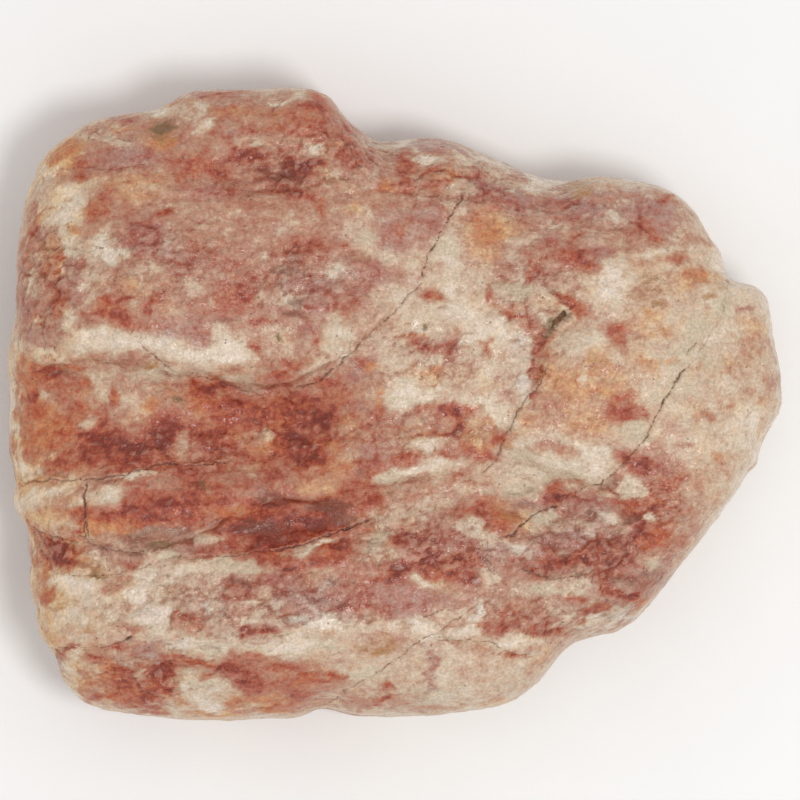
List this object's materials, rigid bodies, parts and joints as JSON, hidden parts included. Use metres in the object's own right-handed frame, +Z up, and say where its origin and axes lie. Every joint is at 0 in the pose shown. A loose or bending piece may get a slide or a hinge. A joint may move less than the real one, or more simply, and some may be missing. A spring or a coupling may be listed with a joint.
{
  "type": "jasper specimen",
  "caption": "Rounded, weathered chunk of banded red and cream jasper, with ledges, hollows and hairline cracks, lying on a worn flat face.",
  "frame": {"origin": "middle of the stone's footprint, on the worn flat face it rests on", "axes": "+Z up through the broad mottled face, +X along the length towards the narrower end, +Y across the width"},
  "size_m": [0.1006, 0.0826, 0.0317],
  "materials": {
    "jasper": "waxy weathered jasper, mottled brick red, salmon, cream, peach and mauve"
  },
  "bodies": {
    "root": {"stone": "jasper"}
  },
  "joints": []
}
